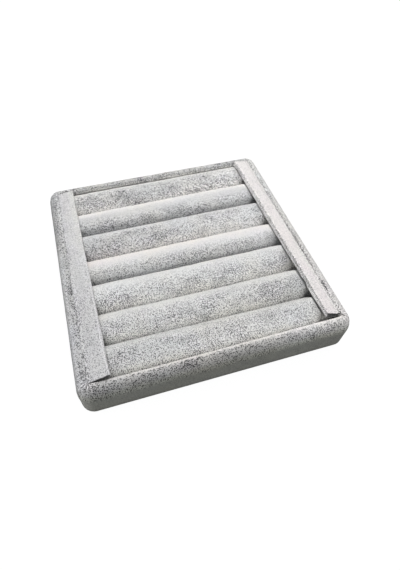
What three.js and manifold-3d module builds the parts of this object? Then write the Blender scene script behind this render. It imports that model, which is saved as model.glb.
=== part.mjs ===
// Ring display stand: a cloth-covered tray that holds seven soft rolls side by side.
// Rings are pushed into the slots between the rolls. Two cloth-covered strips lie over
// the ends of the rolls and hinge on their own cloth along the side walls.
// Millimetres, +Z up. The origin is on the table, under the middle of the tray.
// -Y is the front, +X is the right.

import * as THREE from "three";
import { mergeVertices } from "three/addons/utils/BufferGeometryUtils.js";
import Module from "manifold-3d";

const wasm = await Module();
wasm.setup();

// ---------------------------------------------------------------- driving dimensions
const TRAY = 180; // outside width and depth, over the cloth
const RIM_Z = 30; // top of the rim, over the cloth
const WELL = 164; // inside width and depth of the well, over the cloth
const CORNER_R = 9; // outside corner radius in plan
const RIM_ROUND_W = 5.8; // how far the rounded top edge comes in
const RIM_ROUND_H = 11.2; // how far down the wall the rounding starts
const FOOT_R = 3.5; // rounding where the wall turns under the tray
const CLOTH = 0.9; // velvet with its pile
const GLUE = 0.2; // glue line between two layers

const SHEET_HALF = 84; // felt sheet under the tray, half its width
const SHEET_T = 1.0;
const HEM_HALF = 77; // where the turned-under hem of the tray cloth ends
const BOARD_T = 3.0; // base board
const FLANGE_HALF = 74; // where the tray cloth ends on top of the base board

const ROLLS = 7;
const ROLL_PITCH = WELL / ROLLS;
const ROLL_HALF_W = ROLL_PITCH / 2 - 0.15;
const ROLL_HALF_L = 80.4; // half the length of a roll
const ROLL_POWER = 2.4; // squareness of the squeezed round section
const ROLL_CREST = [31.0, 30.7, 31.0, 29.7, 31.3, 30.8, 30.7]; // back to front

const STRIP_T = 4.0; // thickness of an end strip over the cloth
const STRIP_CLOTH = 0.8;
const HINGE_X = 80.9; // hinge line: the top outer edge of each strip
const HINGE_Z = 29.6;
const TAIL_T = 0.7; // cloth tail of the strip, glued down the side wall
const TAIL_H = 10;
// Each strip leans more towards the front. Widths and leans (degrees) at the back and front end.
// tuck: how far (degrees) its inner side is turned under from square, t of the way to the front.
const STRIPS = {
  left: {
    side: -1,
    width: [10.4, 12.4],
    lean: [7, 18],
    y: [81.4, -81.4],
    tuck: (t) => 4 + 11 * Math.sin((t * Math.PI) / 2),
  },
  right: {
    side: 1,
    width: [10.3, 10.3],
    lean: [10, 26],
    y: [81.4, -79.9],
    tuck: (t) => 30 * Math.max(0, 2 * t - 1) ** 1.3,
  },
};

// heights of the layers, from the table up
const HEM_Z = SHEET_T + GLUE;
const BOARD_Z = HEM_Z + CLOTH + GLUE;
const FLANGE_Z = BOARD_Z + BOARD_T + GLUE;
const ROLL_Z = FLANGE_Z + CLOTH + GLUE;

// ---------------------------------------------------------------- helpers
const lerp = THREE.MathUtils.lerp;

function clean(geometry) {
  const g = geometry.clone();
  g.deleteAttribute("normal");
  g.deleteAttribute("uv");
  return mergeVertices(g, 1e-4);
}

function solid(geometry) {
  const g = clean(geometry);
  return new wasm.Manifold(
    new wasm.Mesh({
      numProp: 3,
      vertProperties: new Float32Array(g.attributes.position.array),
      triVerts: new Uint32Array(g.index.array),
    }),
  );
}

function geometryOf(manifold) {
  const m = manifold.getMesh();
  const g = new THREE.BufferGeometry();
  g.setAttribute(
    "position",
    new THREE.BufferAttribute(new Float32Array(m.vertProperties), 3),
  );
  g.setIndex(new THREE.BufferAttribute(new Uint32Array(m.triVerts), 1));
  g.computeVertexNormals();
  return g;
}

function box(x0, x1, y0, y1, z0, z1) {
  const g = new THREE.BoxGeometry(x1 - x0, y1 - y0, z1 - z0);
  g.translate((x0 + x1) / 2, (y0 + y1) / 2, (z0 + z1) / 2);
  return g;
}

function moved(geometry, f) {
  const p = geometry.attributes.position;
  const v = new THREE.Vector3();
  for (let i = 0; i < p.count; i++) {
    v.fromBufferAttribute(p, i);
    f(v);
    p.setXYZ(i, v.x, v.y, v.z);
  }
  geometry.computeVertexNormals();
  return geometry;
}

// A square with round corners, stacked up through levels of [height, inset].
function stack(half, radius, levels, corner = 5) {
  const c = half - radius;
  const shape = new THREE.Shape();
  shape.moveTo(half, -c);
  shape.lineTo(half, c);
  shape.absarc(c, c, radius, 0, Math.PI / 2);
  shape.lineTo(-c, half);
  shape.absarc(-c, c, radius, Math.PI / 2, Math.PI);
  shape.lineTo(-half, -c);
  shape.absarc(-c, -c, radius, Math.PI, Math.PI * 1.5);
  shape.lineTo(c, -half);
  shape.absarc(c, -c, radius, Math.PI * 1.5, Math.PI * 2);
  const n = levels.length - 1;
  const g = new THREE.ExtrudeGeometry(shape, {
    depth: n,
    steps: n,
    bevelEnabled: false,
    curveSegments: corner,
  });
  return moved(g, (v) => {
    const [z, inset] = levels[Math.round(v.z)];
    const k = (radius - inset) / radius;
    const cx = Math.sign(v.x) * c;
    const cy = Math.sign(v.y) * c;
    v.set(cx + (v.x - cx) * k, cy + (v.y - cy) * k, z);
  });
}

// The outside of the tray, taken in by d all round: a straight wall under an oval edge.
function trayBlock(d, bottom, top) {
  const levels = [];
  const foot = Math.max(0.5, FOOT_R - d);
  for (const a of [0, 45, 90]) {
    const r = THREE.MathUtils.degToRad(a);
    levels.push([bottom + foot * (1 - Math.cos(r)), foot * (1 - Math.sin(r))]);
  }
  const h = RIM_ROUND_H - d;
  const w = RIM_ROUND_W - d * 0.6;
  for (const a of [0, 18, 36, 54, 72, 90]) {
    const r = THREE.MathUtils.degToRad(a);
    levels.push([top - h + h * Math.sin(r), w * (1 - Math.cos(r))]);
  }
  return stack(TRAY / 2 - d, CORNER_R - d * 0.7, levels);
}

// ---------------------------------------------------------------- materials
const paint = (name, color, roughness) => {
  const m = new THREE.MeshStandardMaterial({ color, roughness, metalness: 0 });
  m.name = name;
  return m;
};
const velvet = paint("velvet", 0xbcbcba, 0.95);
const fibreboard = paint("fibreboard", 0xa98a62, 0.85);
const greyboard = paint("greyboard", 0x8f8b84, 0.9);
const foam = paint("foam", 0xece7d6, 0.95);
const felt = paint("felt", 0x6b6c6e, 1.0);

const stand = new THREE.Group();
stand.name = "ring_display_stand";

function add(parent, name, geometry, material) {
  const mesh = new THREE.Mesh(geometry, material.clone());
  mesh.name = name;
  parent.add(mesh);
  return mesh;
}

// ---------------------------------------------------------------- tray carcass
const tray = new THREE.Group();
stand.add(tray);

add(
  tray,
  "bottom_sheet",
  stack(SHEET_HALF, 7, [
    [0, 0.3],
    [0.3, 0],
    [SHEET_T, 0],
  ]),
  felt,
);

const railIn = WELL / 2 + CLOTH + GLUE;
const railOut = CLOTH + GLUE;
const boardHalf = railIn - GLUE;
add(
  tray,
  "base_board",
  box(
    -boardHalf,
    boardHalf,
    -boardHalf,
    boardHalf,
    BOARD_Z,
    BOARD_Z + BOARD_T,
  ),
  fibreboard,
);

// Four rails with an oval outer edge, mitred at the corners.
const frame = solid(trayBlock(railOut, BOARD_Z, RIM_Z - railOut)).subtract(
  solid(box(-railIn, railIn, -railIn, railIn, -5, RIM_Z + 5)),
);
const wedge = new THREE.Shape();
const mitre = 0.15; // half the glue line of a mitre
wedge.moveTo(0, -mitre * Math.SQRT2);
wedge.lineTo(120, -120 - mitre * Math.SQRT2);
wedge.lineTo(-120, -120 - mitre * Math.SQRT2);
wedge.closePath();
for (const [name, turn] of [
  ["front_rail", 0],
  ["right_rail", Math.PI / 2],
  ["back_rail", Math.PI],
  ["left_rail", -Math.PI / 2],
]) {
  const cut = new THREE.ExtrudeGeometry(wedge, {
    depth: 60,
    bevelEnabled: false,
  });
  cut.translate(0, 0, -10);
  cut.rotateZ(turn);
  add(tray, name, geometryOf(frame.intersect(solid(cut))), fibreboard);
}

// One cloth over the whole tray: hem under the base, outer wall, rim, inner wall, and a
// flange on the base board under the rolls.
const well = WELL / 2;
const skin = solid(trayBlock(0, HEM_Z, RIM_Z))
  .subtract(solid(trayBlock(CLOTH, HEM_Z + CLOTH, RIM_Z - CLOTH)))
  .subtract(solid(box(-HEM_HALF, HEM_HALF, -HEM_HALF, HEM_HALF, -5, 10)))
  .subtract(
    solid(box(-well, well, -well, well, FLANGE_Z + CLOTH + 5, RIM_Z + 5)),
  );
const lining = solid(
  box(
    -well - CLOTH,
    well + CLOTH,
    -well - CLOTH,
    well + CLOTH,
    FLANGE_Z,
    RIM_Z - CLOTH / 2,
  ),
)
  .subtract(
    solid(box(-well, well, -well, well, FLANGE_Z + CLOTH, RIM_Z + 5)),
  )
  .subtract(
    solid(
      box(-FLANGE_HALF, FLANGE_HALF, -FLANGE_HALF, FLANGE_HALF, -5, RIM_Z),
    ),
  );
// the inner edge of the rim is eased where the cloth turns down into the well
const eased = new THREE.CylinderGeometry(
  (well + 0.7) * Math.SQRT2,
  well * Math.SQRT2,
  0.75,
  4,
);
eased.rotateX(Math.PI / 2);
eased.rotateZ(Math.PI / 4);
eased.translate(0, 0, RIM_Z - 0.75 / 2 + 0.05);
add(
  tray,
  "tray_cover",
  geometryOf(skin.add(lining).subtract(solid(eased))),
  velvet,
);

// ---------------------------------------------------------------- end strips
// Width and lean of a strip at y, and turn(u): which way its thickness stands at u from the hinge.
function stripAt(strip, y) {
  const t = THREE.MathUtils.clamp((strip.y[0] - y) / (strip.y[0] - strip.y[1]), 0, 1);
  const width = lerp(strip.width[0], strip.width[1], t);
  const lean = THREE.MathUtils.degToRad(
    lerp(strip.lean[0], strip.lean[1], Math.sin((t * Math.PI) / 2)),
  );
  const tuck = THREE.MathUtils.degToRad(strip.tuck(t));
  const turn = (u) => lean - tuck * THREE.MathUtils.clamp(u / width, 0, 1);
  return { width, lean, turn };
}
// Height of a strip's underside over a point, out to its outer edge.
function stripUnderside(strip, x, y) {
  const { lean, turn } = stripAt(strip, y);
  let u = 0;
  for (let i = 0; i < 12; i++) {
    u = (HINGE_X - STRIP_T * Math.sin(turn(u)) - Math.abs(x)) / Math.cos(lean);
  }
  return HINGE_Z + u * Math.sin(lean) - STRIP_T * Math.cos(turn(u));
}

function roundedBox(u0, u1, v0, v1, r, n) {
  const path = new THREE.Path();
  path.moveTo(u0 + r, v0);
  path.lineTo(u1 - r, v0);
  path.absarc(u1 - r, v0 + r, r, -Math.PI / 2, 0);
  path.lineTo(u1, v1 - r);
  path.absarc(u1 - r, v1 - r, r, 0, Math.PI / 2);
  path.lineTo(u0 + r, v1);
  path.absarc(u0 + r, v1 - r, r, Math.PI / 2, Math.PI);
  path.lineTo(u0, v0 + r);
  path.absarc(u0 + r, v0 + r, r, Math.PI, Math.PI * 1.5);
  return path.getPoints(n);
}

// A section drawn from the hinge line, u inwards and v up, run along the strip, stretched to
// its width and leant. short is what each end loses.
function alongStrip(section, strip, short) {
  const [backY, frontY] = [strip.y[0] - short, strip.y[1] + short];
  const g = new THREE.ExtrudeGeometry(section, {
    depth: backY - frontY,
    steps: 12,
    bevelEnabled: false,
    curveSegments: 3,
  });
  return moved(g, (v) => {
    const { width, lean, turn } = stripAt(strip, backY - v.z);
    // the long edges keep their shape: only the flat between them is stretched
    const drawn = -v.x * strip.side;
    const u = drawn > STRIP_DRAWN / 2 ? drawn + width - STRIP_DRAWN : drawn;
    v.set(
      strip.side * (HINGE_X - u * Math.cos(lean) + v.y * Math.sin(turn(u))),
      HINGE_Z + u * Math.sin(lean) + v.y * Math.cos(turn(u)),
      v.z,
    );
  });
}

const STRIP_DRAWN = 11; // width that the sections are drawn at
const flip = (points) =>
  points.map((p) => new THREE.Vector2(-p.x, p.y)).reverse();
for (const [name, strip] of Object.entries(STRIPS)) {
  // drawn in the XZ plane: the group turns the sections' height up and their length to the front
  const group = new THREE.Group();
  group.rotation.x = Math.PI / 2;
  stand.add(group);

  const at = (points) => (strip.side < 0 ? points : flip(points));
  const wall = STRIP_CLOTH;
  const section = new THREE.Shape(
    at(roundedBox(0, STRIP_DRAWN, -STRIP_T, 0, 0.9, 3)),
  );
  section.holes.push(
    new THREE.Path(
      at(roundedBox(wall, STRIP_DRAWN - wall, -STRIP_T + wall, -wall, 0.3, 1)),
    ),
  );
  add(
    group,
    `${name}_strip_cover`,
    alongStrip(section, strip, 0),
    velvet,
  ).position.z = -strip.y[0];

  const c = wall + 0.15;
  const card = new THREE.Shape(
    at(roundedBox(c, STRIP_DRAWN - c, -STRIP_T + c, -c, 0.2, 1)),
  );
  add(
    group,
    `${name}_strip_card`,
    alongStrip(card, strip, 1),
    greyboard,
  ).position.z = -(strip.y[0] - 1);

  // the tail of the strip's cloth, glued to the cloth of the side wall: the living hinge
  const tailX = strip.side * (HINGE_X + 0.2 + TAIL_T / 2);
  const tailBack = strip.y[0] - 2;
  const tailFront = strip.y[1] + 2;
  const tail = add(
    stand,
    `${name}_strip_hinge_cloth`,
    new THREE.BoxGeometry(TAIL_T, tailBack - tailFront, TAIL_H),
    velvet,
  );
  tail.position.set(tailX, (tailBack + tailFront) / 2, HINGE_Z - 0.1 - TAIL_H / 2);
}

// ---------------------------------------------------------------- ring rolls
function rollSection(take, points) {
  const a = ROLL_HALF_W - take;
  const list = [];
  for (let i = 0; i < points; i++) {
    const t = ((i + 0.5) / points) * Math.PI * 2;
    const c = Math.cos(t);
    const s = Math.sin(t);
    const k = 2 / ROLL_POWER;
    list.push(
      new THREE.Vector2(
        a * Math.sign(c) * Math.abs(c) ** k,
        Math.sign(s) * Math.abs(s) ** k,
      ),
    );
  }
  return list;
}

// stations along a roll, outwards from its middle, and the share of its width left there:
// the ends draw in and dip under the strips
const STATIONS = [60, 64.5, 67.2, ROLL_HALF_L];
const NARROWED = [1, 0.985, 0.94, 0.86];

function rollGeometry(section, crest, y, take, short) {
  const n = STATIONS.length * 2 - 1;
  const g = new THREE.ExtrudeGeometry(section, {
    depth: n,
    steps: n,
    bevelEnabled: false,
    curveSegments: 1,
  });
  return moved(g, (v) => {
    const i = Math.round(v.z) - n / 2;
    const far = Math.abs(i) - 0.5;
    const x = Math.sign(i) * Math.min(STATIONS[far], ROLL_HALF_L - short);
    const strip = i < 0 ? STRIPS.left : STRIPS.right;
    // the lowest of the strip over this roll, with a little air
    const under = (px) =>
      Math.min(
        stripUnderside(strip, px, y - 9),
        stripUnderside(strip, px, y + 9),
      ) - 0.45;
    const edge = Math.min(crest, under(67.6));
    const top = [
      crest,
      lerp(crest, edge, 0.3),
      edge,
      Math.min(crest, under(ROLL_HALF_L)),
    ][far];
    const mid = (ROLL_Z + top) / 2;
    const half = (top - ROLL_Z) / 2 - take;
    // sections are drawn with heights from -1 to 1
    v.set(v.x * NARROWED[far], mid + v.y * half, x);
  });
}

const rolls = new THREE.Group();
rolls.rotation.set(Math.PI / 2, Math.PI / 2, 0); // sections stand in YZ, and run along X
stand.add(rolls);
for (let k = 0; k < ROLLS; k++) {
  const y = well - ROLL_PITCH * (k + 0.5);
  const crest = ROLL_CREST[k];
  const points = 18;

  // cover: the outer wall less the room that the foam fills
  const outside = solid(
    rollGeometry(new THREE.Shape(rollSection(0, points)), crest, y, 0, 0),
  );
  const room = rollGeometry(
    new THREE.Shape(rollSection(CLOTH, points)),
    crest,
    y,
    CLOTH,
    0,
  );
  moved(room, (v) => {
    if (Math.abs(v.z) > ROLL_HALF_L - 0.01) v.z += Math.sign(v.z);
  });
  const cover = add(
    rolls,
    `roll_${k + 1}_cover`,
    geometryOf(outside.subtract(solid(room))),
    velvet,
  );
  cover.position.x = y;

  const core = add(
    rolls,
    `roll_${k + 1}_foam`,
    rollGeometry(
      new THREE.Shape(rollSection(CLOTH + 0.15, points)),
      crest,
      y,
      CLOTH + 0.15,
      0.8,
    ),
    foam,
  );
  core.position.x = y;
}

export default stand;
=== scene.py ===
import math

import bpy
import numpy as np
from mathutils import Matrix, Vector


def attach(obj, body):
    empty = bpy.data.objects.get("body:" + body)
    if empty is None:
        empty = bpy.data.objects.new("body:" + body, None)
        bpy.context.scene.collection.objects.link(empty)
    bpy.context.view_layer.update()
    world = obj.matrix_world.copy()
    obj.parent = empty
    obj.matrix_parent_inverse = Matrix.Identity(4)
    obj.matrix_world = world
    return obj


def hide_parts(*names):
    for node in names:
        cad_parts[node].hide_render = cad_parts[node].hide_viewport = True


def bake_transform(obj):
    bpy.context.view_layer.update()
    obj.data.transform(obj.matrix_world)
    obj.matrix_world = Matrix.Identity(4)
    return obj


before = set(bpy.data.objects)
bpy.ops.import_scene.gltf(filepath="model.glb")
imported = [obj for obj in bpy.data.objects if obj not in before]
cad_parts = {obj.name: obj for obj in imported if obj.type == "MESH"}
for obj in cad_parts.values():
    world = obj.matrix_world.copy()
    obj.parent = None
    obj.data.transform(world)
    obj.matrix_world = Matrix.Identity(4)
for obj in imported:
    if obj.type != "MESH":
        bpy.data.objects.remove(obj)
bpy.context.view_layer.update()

MM = 0.001

# ------------------------------------------------------------------ sizes, in millimetres
HALF = 90.0            # half the tray's outside width
RIM_Z = 30.0
WELL = 82.0            # half the well
CORNER_R = 9.0
ROUND_W, ROUND_H = 5.8, 11.2
FOOT_R = 3.5           # rounding where the wall turns under the tray
CLOTH = 0.85
HEM_Z = 1.2
FLANGE_Z = 6.4         # top of the cloth that lies on the base board
ROLL_Z = 6.6           # underside of the rolls
PITCH = 2 * WELL / 7
ROLL_L = 80.4          # half the length of a roll
POWER = 2.4
# top of each roll at its left end, middle and right end, from the back of the tray to the front
CREST = [
    (30.8, 30.95, 31.1), (30.7, 30.7, 30.7), (30.7, 30.95, 31.2), (29.4, 29.7, 30.0),
    (30.8, 30.7, 31.7), (30.0, 29.9, 31.6), (30.0, 30.4, 31.4),
]
# how far the line between two rolls strays from even spacing, at the left and right end
STRAY = [(0, 0), (-0.2, 1.0), (0.1, -0.1), (-0.1, -0.2), (0.8, -0.1), (0.6, -0.6), (0.9, -1.0), (0, 0)]
HINGE_X, HINGE_Z = 80.9, 29.6
STRIP_T = 4.0
STRIPS = {
    "left": dict(side=-1, width=(10.4, 12.4), lean=(7, 18), y=(81.4, -81.4), tuck=lambda t: 4 + 11 * np.sin(t * np.pi / 2)),
    "right": dict(side=1, width=(10.3, 10.3), lean=(10, 26), y=(81.4, -79.9), tuck=lambda t: 30 * np.maximum(0, 2 * t - 1) ** 1.3),
}


# ------------------------------------------------------------------ noise and small helpers
class Noise:
    """Smooth repeatable noise in space, about -1 to 1, one unit from bump to bump."""

    def __init__(self, seed):
        r = np.random.default_rng(seed)
        self.p = np.tile(r.permutation(256), 3)
        g = r.normal(size=(256, 3))
        self.g = g / np.linalg.norm(g, axis=1, keepdims=True)

    def __call__(self, q):
        q = np.asarray(q, float)
        i = np.floor(q).astype(int)
        f = q - i
        i &= 255
        w = f * f * f * (f * (f * 6 - 15) + 10)
        out = 0
        for dx in (0, 1):
            for dy in (0, 1):
                for dz in (0, 1):
                    h = self.p[self.p[self.p[i[..., 0] + dx] + i[..., 1] + dy] + i[..., 2] + dz]
                    d = (self.g[h] * (f - np.array([dx, dy, dz]))).sum(-1)
                    out = out + d * (
                        (w[..., 0] if dx else 1 - w[..., 0])
                        * (w[..., 1] if dy else 1 - w[..., 1])
                        * (w[..., 2] if dz else 1 - w[..., 2])
                    )
        return out * 1.6


def smooth(a, b, x):
    t = np.clip((np.asarray(x, float) - a) / (b - a), 0, 1)
    return t * t * (3 - 2 * t)


def smin(a, b, k):
    h = np.clip(0.5 + 0.5 * (b - a) / k, 0, 1)
    return b * (1 - h) + a * h - k * h * (1 - h)


def lerp(a, b, t):
    return a + (b - a) * t


def normals(P, wrap_v):
    """Normals of a grid of points, rows along the first axis; wrap_v closes the second."""
    du = np.gradient(P, axis=0)
    if wrap_v:
        dv = (np.roll(P, -1, 1) - np.roll(P, 1, 1)) / 2
    else:
        dv = np.gradient(P, axis=1)
    n = np.cross(du, dv)
    return n / np.maximum(np.linalg.norm(n, axis=2, keepdims=True), 1e-9)


def quads(nu, nv, first=0, wrap_u=False, wrap_v=False, turn=False):
    u = np.arange(nu if wrap_u else nu - 1)
    v = np.arange(nv if wrap_v else nv - 1)
    a, b = np.meshgrid(u, v, indexing="ij")
    a1, b1 = (a + 1) % nu, (b + 1) % nv
    f = np.stack([a * nv + b, a1 * nv + b, a1 * nv + b1, a * nv + b1], -1).reshape(-1, 4)
    return (f[:, ::-1] if turn else f) + first


def ring(a, b, turn=False):
    """Quads between two closed rows of vertex numbers."""
    a, b = np.asarray(a), np.asarray(b)
    f = np.stack([a, np.roll(a, -1), np.roll(b, -1), b], -1)
    return f[:, ::-1] if turn else f


def piece(name, verts, faces, material, attributes=None, smooth_shade=True):
    """A mesh object from points in millimetres and quads."""
    me = bpy.data.meshes.new(name)
    me.from_pydata((np.asarray(verts) * MM).tolist(), [], faces if isinstance(faces, list) else faces.tolist())
    me.polygons.foreach_set("use_smooth", np.full(len(me.polygons), smooth_shade))
    for key, values in (attributes or {}).items():
        me.attributes.new(key, "FLOAT", "POINT").data.foreach_set("value", np.asarray(values, np.float32).ravel())
    me.validate()
    me.update()
    ob = bpy.data.objects.new(name, me)
    bpy.context.scene.collection.objects.link(ob)
    me.materials.append(material)
    return ob


# ------------------------------------------------------------------ node helpers
def new_material(name):
    m = bpy.data.materials.new(name)
    m.use_nodes = True
    nt = m.node_tree
    nt.nodes.clear()
    out = nt.nodes.new("ShaderNodeOutputMaterial")
    sh = nt.nodes.new("ShaderNodeBsdfPrincipled")
    nt.links.new(sh.outputs[0], out.inputs[0])
    return m, nt, sh


class Nodes:
    def __init__(self, nt):
        self.nt = nt

    def put(self, socket, value):
        if isinstance(value, bpy.types.NodeSocket):
            self.nt.links.new(value, socket)
        else:
            socket.default_value = value

    def maths(self, op, a, b=0.0, clamp=False):
        n = self.nt.nodes.new("ShaderNodeMath")
        n.operation = op
        n.use_clamp = clamp
        self.put(n.inputs[0], a)
        self.put(n.inputs[1], b)
        return n.outputs[0]

    def noise(self, where, scale, detail=2.0, rough=0.5, seed=(0, 0, 0), stretch=(1, 1, 1), turn=(0, 0, 0), distort=0.0):
        mp = self.nt.nodes.new("ShaderNodeMapping")
        mp.vector_type = "TEXTURE"   # turns the pattern first and stretches it after
        self.put(mp.inputs["Vector"], where)
        mp.inputs["Location"].default_value = seed
        mp.inputs["Scale"].default_value = [1 / x for x in stretch]
        mp.inputs["Rotation"].default_value = turn
        n = self.nt.nodes.new("ShaderNodeTexNoise")
        self.put(n.inputs["Vector"], mp.outputs[0])
        n.inputs["Scale"].default_value = scale
        n.inputs["Detail"].default_value = detail
        n.inputs["Roughness"].default_value = rough
        n.inputs["Distortion"].default_value = distort
        return n.outputs["Fac"]

    def ramp(self, fac, *stops):
        n = self.nt.nodes.new("ShaderNodeValToRGB")
        self.put(n.inputs[0], fac)
        e = n.color_ramp.elements
        while len(e) < len(stops):
            e.new(0.5)
        for el, (at, c) in zip(e, stops):
            el.position = at
            el.color = (*c, 1) if hasattr(c, "__len__") else (c, c, c, 1)
        return n.outputs[0]

    def span(self, x, a, b, c, d):
        n = self.nt.nodes.new("ShaderNodeMapRange")
        n.clamp = True
        for s, v in zip(n.inputs[:5], (x, a, b, c, d)):
            self.put(s, v)
        return n.outputs[0]

    def mix(self, fac, a, b):
        n = self.nt.nodes.new("ShaderNodeMix")
        n.data_type = "RGBA"
        self.put(n.inputs[0], fac)
        for s, v in ((n.inputs[6], a), (n.inputs[7], b)):
            self.put(s, (*v, 1) if isinstance(v, tuple) and len(v) == 3 else v)
        return n.outputs[2]

    def scaled(self, colour, by):
        n = self.nt.nodes.new("ShaderNodeVectorMath")
        n.operation = "SCALE"
        self.put(n.inputs[0], colour)
        self.put(n.inputs["Scale"], by)
        return n.outputs[0]

    def attribute(self, name):
        n = self.nt.nodes.new("ShaderNodeAttribute")
        n.attribute_name = name
        return n.outputs["Fac"]

    def bump(self, height, strength, distance, under=None):
        n = self.nt.nodes.new("ShaderNodeBump")
        n.inputs["Strength"].default_value = strength
        n.inputs["Distance"].default_value = distance
        self.put(n.inputs["Height"], height)
        if under is not None:
            self.put(n.inputs["Normal"], under)
        return n.outputs[0]


def where(nt):
    return nt.nodes.new("ShaderNodeTexCoord").outputs["Object"]


# ------------------------------------------------------------------ materials
def velvet(name, seed=0.0, grain=(1.0, 1.0, 1.0), tint=((0.988, 0.998, 1.008), (1.010, 1.0, 0.982)), close=1.0):
    """Short crushed pile: light tips with darker gaps between them, a millimetre or so across. How
    light the pile lies, how strongly the gaps show and which way its grey leans come from the
    mesh: shade, fleck, red and blue. Shade also carries painted shade and painted highlights:
    shade in grooves, creases and gaps and on sides turned away from the lamps, highlights along edges and folds."""
    m, nt, sh = new_material(name)
    k = Nodes(nt)
    at = where(nt)
    s = (seed, seed * 0.37, seed * 0.71)
    # short tufts that lean one way in some places and the other way in others
    lean_a = k.noise(at, 1850.0 * close, 0.0, 0.5, s, (0.70, 1.0, 1.0), (0, 0, 0.75))
    lean_b = k.noise(at, 1850.0 * close, 0.0, 0.5, (seed + 2.1, seed * 0.41, seed * 0.67), (0.70, 1.0, 1.0), (0, 0, -0.85))
    which = k.span(k.noise(at, 230.0, 1.0, 0.5, (seed + 0.7, seed * 0.19, seed * 0.83)), 0.45, 0.55, 0.0, 1.0)
    tuft = k.maths("ADD", lean_a, k.maths("MULTIPLY", which, k.maths("SUBTRACT", lean_b, lean_a)))
    fine = k.noise(at, 2500.0 * close, 0.0, 0.5, (seed + 1.3, seed * 0.53, seed * 0.29), (1.0, 1.25, 1.0))
    cloud = k.noise(at, 82.0, 2.0, 0.50, s, grain)
    hue = k.noise(at, 40.0, 2.0, 0.5, (seed + 3.1, 1.7, 0.3))
    cast = k.noise(at, 95.0, 1.0, 0.5, (seed + 4.3, 0.9, 2.2))
    shade, fleck = k.attribute("shade"), k.attribute("fleck")

    pile = k.maths("ADD", k.maths("MULTIPLY", tuft, 0.6), k.maths("MULTIPLY", fine, 0.4))
    # where the pile is crushed its gaps lie closer together and show darker
    crush = k.span(cloud, 0.36, 0.60, 1.0, 0.0)
    # and here and there a small clump of it lies flat and dark
    clump = k.span(k.noise(at, 125.0, 1.0, 0.5, (seed + 5.9, seed * 0.23, seed * 0.47), grain), 0.34, 0.45, 1.0, 0.0)
    level = k.maths("SUBTRACT", pile, k.maths("ADD", k.maths("MULTIPLY", crush, 0.050), k.maths("MULTIPLY", clump, 0.020)))
    gap = k.span(level, 0.408, 0.462, 1.0, 0.0)
    mean = k.maths("ADD", k.span(crush, 0.0, 1.0, 0.235, 0.435), k.maths("MULTIPLY", clump, 0.08))
    depth = k.maths("MULTIPLY_ADD", fleck, k.span(crush, 0.0, 1.0, 0.99, 1.27))
    depth.node.inputs[2].default_value = 0.10
    tone = k.maths("MULTIPLY_ADD", k.maths("SUBTRACT", mean, gap), k.maths("MINIMUM", depth, 1.60))
    tone.node.inputs[2].default_value = 1.0
    # and the whole of it darker there, where the pile shows at all
    dull = k.maths("SUBTRACT", k.span(cloud, 0.36, 0.60, -0.10, 0.08), k.maths("MULTIPLY", clump, 0.15))
    patch = k.maths("MULTIPLY_ADD", dull, k.maths("MINIMUM", fleck, 1.2))
    patch.node.inputs[2].default_value = 1.0
    tone = k.maths("MULTIPLY", k.maths("MAXIMUM", tone, 0.26), patch)
    tone = k.maths("MULTIPLY", tone, shade)
    warm = k.mix(k.span(hue, 0.38, 0.62, 0.0, 1.0), tint[0], tint[1])
    mauve = k.mix(k.maths("MULTIPLY", k.span(cast, 0.40, 0.58, 0.15, 0.70), crush), warm, (1.006, 0.988, 1.022))
    cool = k.mix(k.maths("MULTIPLY", gap, 0.5), mauve, (0.975, 0.990, 1.020))
    lean = nt.nodes.new("ShaderNodeCombineXYZ")
    k.put(lean.inputs[0], k.maths("ADD", k.attribute("red"), 1.0))
    lean.inputs[1].default_value = 1.0
    k.put(lean.inputs[2], k.maths("ADD", k.attribute("blue"), 1.0))
    grey = nt.nodes.new("ShaderNodeVectorMath")
    grey.operation = "MULTIPLY"
    k.put(grey.inputs[0], cool)
    k.put(grey.inputs[1], lean.outputs[0])
    k.put(sh.inputs["Base Color"], k.scaled(grey.outputs[0], tone))
    k.put(sh.inputs["Roughness"], k.span(gap, 0.0, 1.0, 0.85, 1.0))
    sh.inputs["Specular IOR Level"].default_value = 0.12
    sh.inputs["Sheen Weight"].default_value = 0.16
    sh.inputs["Sheen Roughness"].default_value = 0.45
    height = k.maths("SUBTRACT", k.maths("MULTIPLY", cloud, 1.2), gap)
    k.put(sh.inputs["Normal"], k.bump(height, 0.30, 0.00030))
    return m


def felt():
    m, nt, sh = new_material("felt_underside")
    k = Nodes(nt)
    at = where(nt)
    fibre_a = k.noise(at, 420.0, 2.0, 0.6, (0, 0, 0), (1, 0.18, 1), (0, 0, 0.5), 0.6)
    fibre_b = k.noise(at, 420.0, 2.0, 0.6, (3, 1, 0), (0.18, 1, 1), (0, 0, -0.35), 0.6)
    patch = k.noise(at, 26.0, 3.0, 0.55, (5, 2, 1))
    f = k.maths("MAXIMUM", fibre_a, fibre_b)
    tone = k.maths("MULTIPLY", k.span(f, 0.42, 0.72, 0.75, 1.3), k.span(patch, 0.3, 0.7, 0.86, 1.12))
    k.put(sh.inputs["Base Color"], k.scaled((0.150, 0.152, 0.158), tone))
    k.put(sh.inputs["Roughness"], k.span(f, 0.4, 0.7, 1.0, 0.85))
    sh.inputs["Specular IOR Level"].default_value = 0.15
    sh.inputs["Sheen Weight"].default_value = 0.15
    k.put(sh.inputs["Normal"], k.bump(f, 0.5, 0.0004))
    return m


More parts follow.
